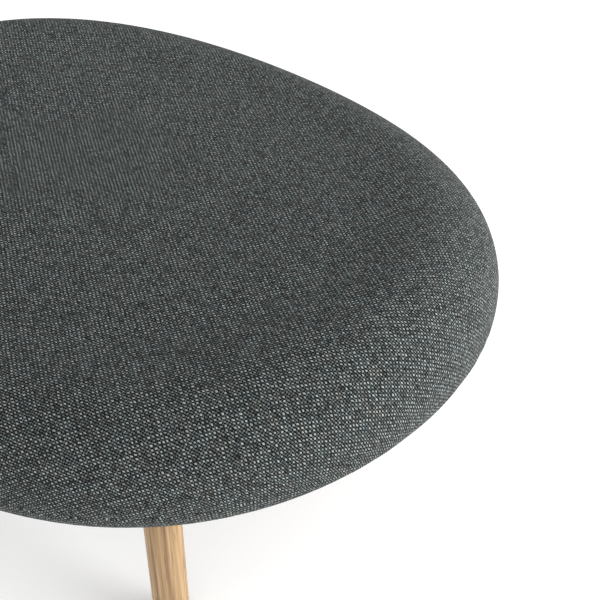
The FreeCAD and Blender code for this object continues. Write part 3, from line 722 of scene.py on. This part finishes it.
class OTTOMAN_OT_legs(bpy.types.Operator):
    """Turn the four oak legs and cut them to their plates and feet"""

    bl_idname = "ottoman.legs"
    bl_label = "Legs"

    def execute(self, context):
        seat = context.scene.ottoman_seat
        legs = context.scene.ottoman_legs
        wood = oak(legs)
        for corner in CORNERS:
            leg = self.turn_leg(corner, seat, legs)
            finish_piece(leg, wood)
            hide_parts(f"leg_{corner}")
        return {"FINISHED"}

    def turn_leg(self, corner, seat, legs):
        """A tapered round bar along the leg's axis, cut level below and square to its plate above."""
        foot, top, plate_up = self.leg_ends(corner, seat)
        lean = top - foot
        leg = self.tapered_bar(f"oak_leg_{corner}", lean.length, legs)
        turn = Vector((0.0, 0.0, 1.0)).rotation_difference(lean).to_matrix().to_4x4()
        stand = Matrix.Translation(foot) @ turn
        leg.matrix_world = stand
        apply_place(leg)
        self.cut_end(foot, Vector((0.0, 0.0, -1.0)))
        self.cut_end(top, plate_up)
        bevel = leg.modifiers.new("eased_edges", "BEVEL")
        bevel.width = legs.edge_bevel
        bevel.segments = 3
        bevel.limit_method = "ANGLE"
        apply_modifiers(leg)
        bpy.ops.object.shade_smooth_by_angle(angle=SMOOTH_ANGLE)
        self.lay_grain(leg, stand, corner)
        return leg

    def leg_ends(self, corner, seat):
        """The middles of a leg's ends, on its glide and on the seat's underside, and the way up there."""
        glide_low, glide_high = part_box(f"leg_glide_{corner}")
        plate_low, plate_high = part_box(f"leg_plate_{corner}")
        foot_x = (glide_low[0] + glide_high[0]) / 2
        foot_y = (glide_low[1] + glide_high[1]) / 2
        foot = Vector((foot_x, foot_y, glide_high[2]))
        top_x = (plate_low[0] + plate_high[0]) / 2
        top_y = (plate_low[1] + plate_high[1]) / 2
        axis_height = seat.seat_height + seat.dish_radius
        plate_radius = seat.dish_radius + seat.pad_thickness
        top = Vector((top_x, top_y, axis_height - math.sqrt(plate_radius ** 2 - top_x ** 2)))
        plate_up = Vector((-top_x, 0.0, axis_height - top.z)).normalized()
        return foot, top, plate_up

    def tapered_bar(self, name, length, legs):
        """An upright round bar, narrower below, with some length to spare at both ends."""
        bar_length = length + 2.0 * legs.spare_length
        deselect_all()
        bpy.ops.mesh.primitive_cylinder_add(vertices=LEG_SIDES, radius=legs.top_radius, depth=bar_length,
                                            location=(0.0, 0.0, bar_length / 2 - legs.spare_length))
        bar = bpy.context.object
        bar.name = name
        bar.data.name = name
        apply_place(bar)
        start_selection(bar, "VERT")
        for vertex in bar.data.vertices:
            vertex.select = vertex.co.z < 0
        bpy.ops.object.mode_set(mode="EDIT")
        narrow = legs.foot_radius / legs.top_radius
        bpy.ops.transform.resize(value=(narrow, narrow, 1.0), center_override=(0.0, 0.0, 0.0))
        bpy.ops.object.mode_set(mode="OBJECT")
        return bar

    def cut_end(self, point, way):
        """Cut the active leg across at a point and drop what lies beyond it."""
        bpy.ops.object.mode_set(mode="EDIT")
        bpy.ops.mesh.select_all(action="SELECT")
        bpy.ops.mesh.bisect(plane_co=point, plane_no=way, use_fill=True, clear_outer=True)
        bpy.ops.object.mode_set(mode="OBJECT")

    def lay_grain(self, leg, stand, corner):
        """Keep each point's place along the leg for the grain, each leg from another part of the plank."""
        shift = PLANK_STEP * CORNERS.index(corner)
        back = stand.inverted()
        grain = leg.data.attributes.new("grain", "FLOAT_VECTOR", "POINT")
        for vertex in leg.data.vertices:
            grain.data[vertex.index].vector = back @ vertex.co + shift


# Underside

CLOTH_SPOKES = 160
CLOTH_RINGS = 26
SAG_WAVES = 9.0
HOLE_SIDES = 64
HOLE_CUTTER_LENGTH = 60.0 * MM
STAPLE_LINE_POINTS = 720
STAPLE_WIRE_BEVEL = 0.12 * MM
# Height of the wire and rise of a staple's ends, as shares of the wire's width
STAPLE_WIRE_HEIGHT = 0.55
STAPLE_END_RISE = 1.4
# Where a staple's ends start, as a share of its crown, and how far they are drawn in
STAPLE_END_START = 0.4
STAPLE_END_DRAW = 0.97
STAPLE_UNEVENNESS = math.radians(7.0)
STAPLE_UNEVEN_STEP = 2.7


class OTTOMAN_OT_dust_cover(bpy.types.Operator):
    """Stretch a thin black cloth under the seat, cut out round the leg plates"""

    bl_idname = "ottoman.dust_cover"
    bl_label = "Dust cover"

    def execute(self, context):
        seat = context.scene.ottoman_seat
        underside = context.scene.ottoman_underside
        cloth, area = self.stretched_cloth(seat, underside)
        for corner in CORNERS:
            self.cut_hole(cloth, corner, underside)
        bpy.ops.object.shade_smooth_by_angle(angle=CLOTH_SMOOTH_ANGLE)
        material = matt_surface("dust_cloth", (0.010, 0.010, 0.011), (0.030, 0.030, 0.032), 900.0, 0.9)
        finish_piece(cloth, material)
        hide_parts("dust_cover")
        return {"FINISHED"}

    def flat_size(self, seat):
        """The cloth's length along its bend, and its width."""
        bend = seat.dish_radius + seat.pad_thickness
        length = 2.0 * bend * math.asin(DUST_COVER_HIGH[0] / bend)
        return length, DUST_COVER_HIGH[1] - DUST_COVER_LOW[1]

    def stretched_cloth(self, seat, underside):
        """An oval cloth that follows the seat's bent underside, and its area before it is thickened."""
        cloth = self.ring_net()
        self.lay_under_seat(cloth, seat, underside)
        bpy.ops.object.mode_set(mode="EDIT")
        bpy.ops.mesh.select_all(action="SELECT")
        bpy.ops.mesh.remove_doubles(threshold=MERGE_DISTANCE)
        bpy.ops.mesh.normals_make_consistent(inside=False)
        bpy.ops.object.mode_set(mode="OBJECT")
        area = sum(face.area for face in cloth.data.polygons)
        thick = cloth.modifiers.new("cloth_thickness", "SOLIDIFY")
        thick.thickness = underside.dust_cloth_thickness
        thick.offset = 0.0
        apply_modifiers(cloth)
        return cloth, area

    def ring_net(self):
        """A flat round net of rings and spokes, one metre in radius."""
        deselect_all()
        bpy.ops.mesh.primitive_circle_add(vertices=CLOTH_SPOKES, radius=1.0, fill_type="NOTHING")
        net = bpy.context.object
        net.name = "dust_cloth"
        net.data.name = net.name
        bpy.ops.object.mode_set(mode="EDIT")
        for ring in range(CLOTH_RINGS, 1, -1):
            inner = (ring - 1) / ring
            bpy.ops.mesh.extrude_edges_move()
            bpy.ops.transform.resize(value=(inner, inner, inner), center_override=(0.0, 0.0, 0.0))
        bpy.ops.mesh.merge(type="CENTER")
        bpy.ops.object.mode_set(mode="OBJECT")
        return net

    def lay_under_seat(self, cloth, seat, underside):
        """Draw the round net out to the cloth's oval, bend it to the seat and let it sag a little."""
        edge, _ = outline_points(seat, DUST_COVER_INSET, CLOTH_SPOKES)
        places = vertex_places(cloth.data)
        reach = np.hypot(places[:, 0], places[:, 1])
        turn = np.arctan2(places[:, 1], places[:, 0])
        spoke = np.rint(turn / (2 * math.pi) * len(edge)).astype(int) % len(edge)
        places[:, :2] = edge[spoke] * reach[:, None]
        uneven = 1.0 + 0.5 * np.sin(SAG_WAVES * turn)
        sag = underside.cloth_sag * np.sin(math.pi * np.clip(reach, 0.0, 1.0)) * uneven
        places[:, 2] = under_height(seat, places[:, 0], underside.cloth_depth) - sag
        set_vertex_places(cloth.data, places)

    def cut_hole(self, cloth, corner, underside):
        """A round hole for one leg plate."""
        low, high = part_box(f"leg_plate_{corner}")
        radius = (high[1] - low[1]) / 2 + underside.hole_clearance
        middle = [(near + far) / 2 for near, far in zip(low, high)]
        deselect_all()
        bpy.ops.mesh.primitive_cylinder_add(vertices=HOLE_SIDES, radius=radius, depth=HOLE_CUTTER_LENGTH,
                                            location=middle)
        cutter = bpy.context.object
        apply_place(cutter)
        hole = cloth.modifiers.new("plate_hole", "BOOLEAN")
        hole.operation = "DIFFERENCE"
        hole.object = cutter
        hole.solver = "EXACT"
        apply_modifiers(cloth)
        bpy.data.objects.remove(cutter, do_unlink=True)
        activate(cloth)


class OTTOMAN_OT_staples(bpy.types.Operator):
    """Drive a row of staples round the edge of the dust cover"""

    bl_idname = "ottoman.staples"
    bl_label = "Staples"

    def execute(self, context):
        seat = context.scene.ottoman_seat
        underside = context.scene.ottoman_underside
        line, out = outline_points(seat, DUST_COVER_INSET + underside.staple_inset, STAPLE_LINE_POINTS)
        steps = np.linalg.norm(np.roll(line, -1, axis=0) - line, axis=1)
        run = np.concatenate([[0.0], np.cumsum(steps)[:-1]])
        round_length = float(steps.sum())
        count = round(round_length / underside.staple_pitch)
        first = self.bend_staple(underside)
        copies = []
        for number in range(count):
            index = int(np.searchsorted(run, number * round_length / count))
            turn = math.atan2(out[index][1], out[index][0]) + 0.5 * math.pi
            turn += STAPLE_UNEVENNESS * math.sin(STAPLE_UNEVEN_STEP * number)
            copies.append(self.drive(first, line[index], turn, seat, underside))
        bpy.data.objects.remove(first, do_unlink=True)
        deselect_all()
        for copy in copies:
            copy.select_set(True)
        bpy.context.view_layer.objects.active = copies[0]
        bpy.ops.object.join()
        staples = bpy.context.object
        staples.name = "dust_cover_staples"
        staples.data.name = staples.name
        bpy.ops.object.shade_smooth_by_angle(angle=SMOOTH_ANGLE)
        finish_piece(staples, zinc("staple_wire", (0.62, 0.62, 0.61), 0.32))
        return {"FINISHED"}

    def bend_staple(self, underside):
        """One staple: a flat crown whose ends turn up into the cloth."""
        crown = underside.staple_crown
        wire = underside.staple_wire
        deselect_all()
        bpy.ops.mesh.primitive_cube_add(size=1.0)
        staple = bpy.context.object
        staple.name = "staple"
        staple.scale = (crown, wire, STAPLE_WIRE_HEIGHT * wire)
        apply_place(staple)
        bpy.ops.object.mode_set(mode="EDIT")
        bpy.ops.mesh.select_all(action="SELECT")
        bpy.ops.mesh.subdivide(number_cuts=1)
        bpy.ops.object.mode_set(mode="OBJECT")
        for vertex in staple.data.vertices:
            if abs(vertex.co.x) > STAPLE_END_START * crown:
                vertex.co.z += STAPLE_END_RISE * wire
                vertex.co.x *= STAPLE_END_DRAW
        bevel = staple.modifiers.new("round_wire", "BEVEL")
        bevel.width = STAPLE_WIRE_BEVEL
        bevel.segments = 1
        apply_modifiers(staple)
        return staple

    def drive(self, first, place, turn, seat, underside):
        """A copy of the staple, turned and set flat against the bent underside."""
        copy = first.copy()
        copy.data = first.data.copy()
        bpy.context.scene.collection.objects.link(copy)
        height = under_height(seat, place[0], underside.staple_depth)
        slope = math.asin(place[0] / (seat.dish_radius + seat.pad_thickness))
        tilt = Matrix.Rotation(-slope, 4, "Y")
        copy.matrix_world = Matrix.Translation((*place, height)) @ tilt @ Matrix.Rotation(turn, 4, "Z")
        apply_place(copy)
        return copy


# Fittings and stage


class OTTOMAN_OT_fittings(bpy.types.Operator):
    """Give the board, plates, screws, bolts, glides and felts their finishes"""

    bl_idname = "ottoman.fittings"
    bl_label = "Fittings"

    def execute(self, context):
        plate = zinc("plate_steel", (0.60, 0.61, 0.62), 0.34)
        screw = zinc("screw_steel", (0.66, 0.64, 0.58), 0.28)
        nylon = matt_surface("nylon", (0.018, 0.018, 0.019), (0.034, 0.034, 0.036), 700.0, 0.5, 0.05 * MM)
        felt = matt_surface("felt", (0.10, 0.093, 0.085), (0.21, 0.20, 0.185), 1500.0, 0.92, 0.4 * MM)
        finishes = {"base_board": plywood(), "leg_plate_screws": screw, "glide_screws": screw}
        for corner in CORNERS:
            finishes[f"leg_plate_{corner}"] = plate
            finishes[f"leg_bolt_{corner}"] = screw
            finishes[f"leg_glide_{corner}"] = nylon
            finishes[f"glide_felt_{corner}"] = felt
        for node, material in finishes.items():
            materials = NODES[node].data.materials
            materials.clear()
            materials.append(material)
        return {"FINISHED"}


class OTTOMAN_OT_stage(bpy.types.Operator):
    """Set up the pale floor, the soft light and the camera"""

    bl_idname = "ottoman.stage"
    bl_label = "Stage"

    def execute(self, context):
        stage = context.scene.ottoman_stage
        self.add_floor(stage)
        self.add_light(stage)
        self.add_camera(stage)
        return {"FINISHED"}

    def add_floor(self, stage):
        """A pale floor that glows a little, as a light table does."""
        deselect_all()
        bpy.ops.mesh.primitive_plane_add(size=stage.floor_size)
        floor = bpy.context.object
        floor.name = "floor"
        material, _, shader, _ = new_material("pale_floor")
        shader.inputs["Base Color"].default_value = colour(stage.floor_colour)
        shader.inputs["Roughness"].default_value = 1.0
        shader.inputs["Specular IOR Level"].default_value = 0.0
        shader.inputs["Emission Color"].default_value = WHITE
        shader.inputs["Emission Strength"].default_value = stage.floor_glow
        floor.data.materials.append(material)

    def add_light(self, stage):
        """Light all round, stronger from one side, and one large soft light from the right."""
        world = bpy.data.worlds.new("room")
        world.use_nodes = True
        background = world.node_tree.nodes["Background"]
        background.inputs["Color"].default_value = WHITE
        board = NodeBoard(world.node_tree)
        way = board.add("ShaderNodeTexCoord").outputs["Generated"]
        facing = board.add("ShaderNodeVectorMath", {0: way, 1: stage.bright_way}, operation="DOT_PRODUCT")
        board.feed(background.inputs["Strength"],
                   board.remap(facing.outputs["Value"], -1.0, 1.0, stage.dim_side, stage.bright_side))
        bpy.context.scene.world = world
        lamp = bpy.data.lights.new("key_light", "AREA")
        lamp.shape = "DISK"
        lamp.size = stage.key_size
        lamp.energy = stage.key_power
        key = bpy.data.objects.new("key_light", lamp)
        bpy.context.scene.collection.objects.link(key)
        key.location = stage.key_place
        aim = Vector(stage.key_aim) - key.location
        key.rotation_euler = aim.to_track_quat("-Z", "Y").to_euler()

    def add_camera(self, stage):
        """The camera at the photograph's place."""
        camera = bpy.data.cameras.new("camera")
        camera.sensor_width = SENSOR_WIDTH
        camera.lens = stage.focal_length
        viewer = bpy.data.objects.new("camera", camera)
        bpy.context.scene.collection.objects.link(viewer)
        viewer.location = stage.camera_place
        viewer.rotation_euler = (0.5 * math.pi - stage.camera_pitch, 0.0, stage.camera_turn)
        bpy.context.scene.camera = viewer
        bpy.context.scene.view_settings.view_transform = "Standard"


class OTTOMAN_PT_sidebar(bpy.types.Panel):
    """The ottoman's pieces and settings"""

    bl_idname = "OTTOMAN_PT_sidebar"
    bl_label = "Ottoman"
    bl_space_type = "VIEW_3D"
    bl_region_type = "UI"
    bl_category = "Ottoman"

    def draw(self, context):
        layout = self.layout
        for operator in OPERATORS:
            layout.operator(operator.bl_idname)
        for name in SETTINGS:
            group = getattr(context.scene, name)
            box = layout.box()
            for prop in group.__annotations__:
                box.prop(group, prop)


SETTINGS = {
    "ottoman_seat": SeatSettings,
    "ottoman_legs": LegSettings,
    "ottoman_underside": UndersideSettings,
    "ottoman_stage": StageSettings,
}
OPERATORS = (
    OTTOMAN_OT_seat_pad,
    OTTOMAN_OT_legs,
    OTTOMAN_OT_dust_cover,
    OTTOMAN_OT_staples,
    OTTOMAN_OT_fittings,
    OTTOMAN_OT_stage,
)


def register():
    for group in SETTINGS.values():
        bpy.utils.register_class(group)
    for name, group in SETTINGS.items():
        setattr(bpy.types.Scene, name, bpy.props.PointerProperty(type=group))
    for operator in OPERATORS:
        bpy.utils.register_class(operator)
    bpy.utils.register_class(OTTOMAN_PT_sidebar)


def unregister():
    bpy.utils.unregister_class(OTTOMAN_PT_sidebar)
    for operator in reversed(OPERATORS):
        bpy.utils.unregister_class(operator)
    for name in SETTINGS:
        delattr(bpy.types.Scene, name)
    for group in SETTINGS.values():
        bpy.utils.unregister_class(group)


def main():
    """Build the ottoman's looks in order."""
    register()
    bpy.ops.ottoman.seat_pad()
    bpy.ops.ottoman.legs()
    bpy.ops.ottoman.dust_cover()
    bpy.ops.ottoman.staples()
    bpy.ops.ottoman.fittings()
    bpy.ops.ottoman.stage()


if __name__ == "__main__":
    main()
